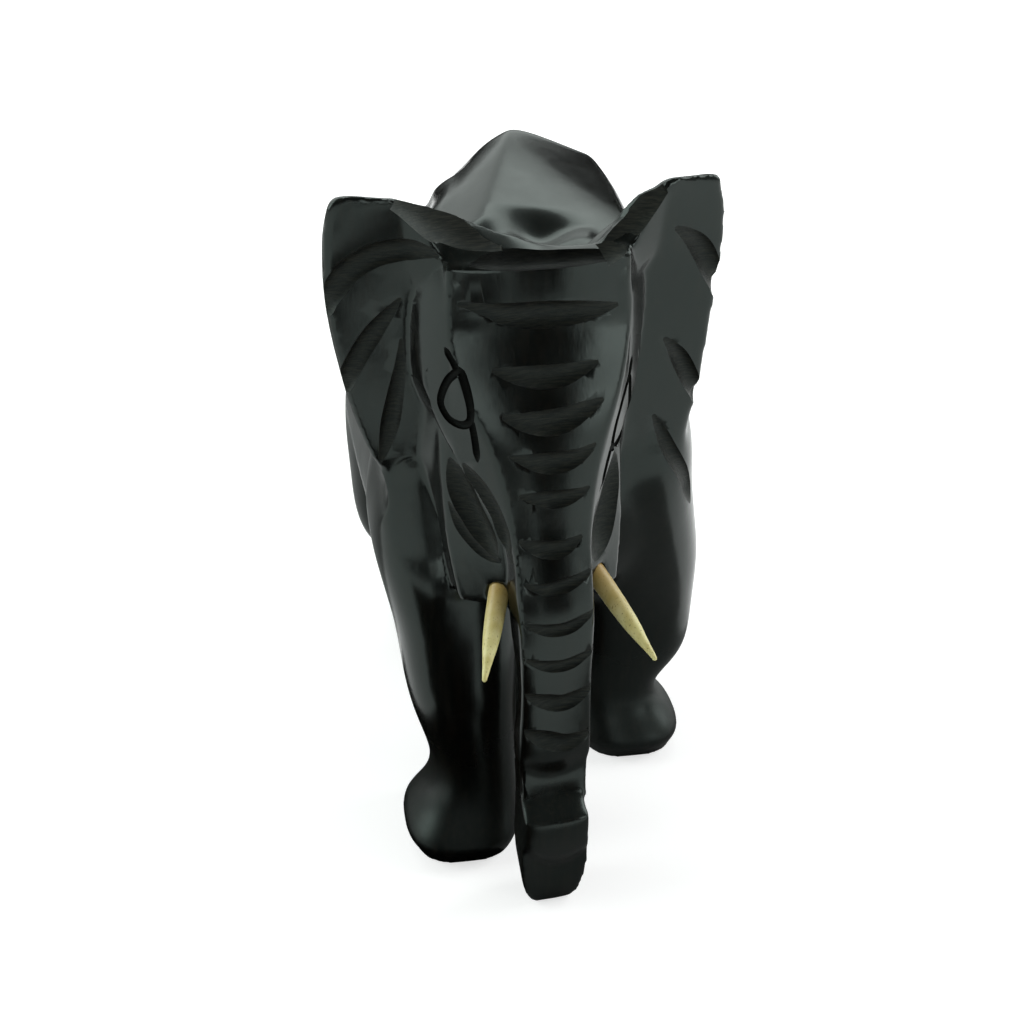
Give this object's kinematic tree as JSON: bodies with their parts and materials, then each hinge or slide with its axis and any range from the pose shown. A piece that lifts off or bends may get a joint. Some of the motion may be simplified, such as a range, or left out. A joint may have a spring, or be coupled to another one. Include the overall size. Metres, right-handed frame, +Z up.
{
  "type": "elephant figurine",
  "caption": "Walking elephant carved from one block of dark polished wood, with a domed back, spread ears, a trunk curled at the tip and pale tusks set in the jaw.",
  "frame": {"origin": "middle of the whole figure's footprint box, on the surface it stands on", "axes": "+Z up, the elephant faces -Y, its own left side is towards +X"},
  "size_m": [0.0871, 0.1602, 0.1528],
  "materials": {
    "polished_ebony": "hand polished semi-gloss, nearly black, with matte cut grooves",
    "carved_bone": "satin, pale yellow with small dark pores"
  },
  "bodies": {
    "root": {"carved_body": "polished_ebony", "left_tusk": "carved_bone", "right_tusk": "carved_bone"}
  },
  "joints": []
}
